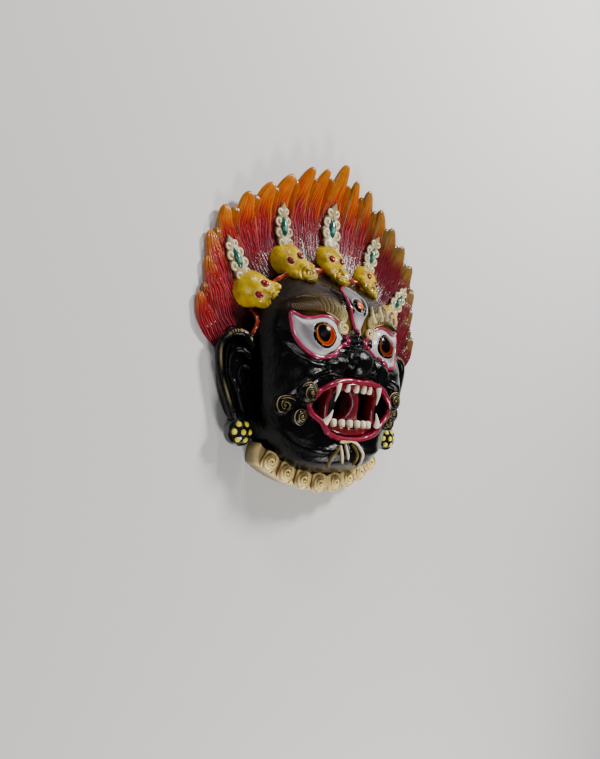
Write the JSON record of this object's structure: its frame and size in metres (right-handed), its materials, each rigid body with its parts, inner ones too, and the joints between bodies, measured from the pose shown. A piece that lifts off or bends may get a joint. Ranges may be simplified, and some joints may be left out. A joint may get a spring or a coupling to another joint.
{
  "type": "wall mask",
  "caption": "Hollow cast metal wall mask of a fanged guardian face, with flame hair, skulls, leaf jewels, long ears and a petal collar.",
  "frame": {"origin": "middle of the outline's box, on the plane that the back rim stands on", "axes": "+Z out of the face, away from the wall; +Y up to the crown of the hair; +X to the viewer's right"},
  "size_m": [0.2335, 0.2692, 0.0628],
  "materials": {
    "lacquered_brass": "glossy painted lacquer over cast brass"
  },
  "bodies": {
    "root": {"mask": "lacquered_brass"}
  },
  "joints": []
}
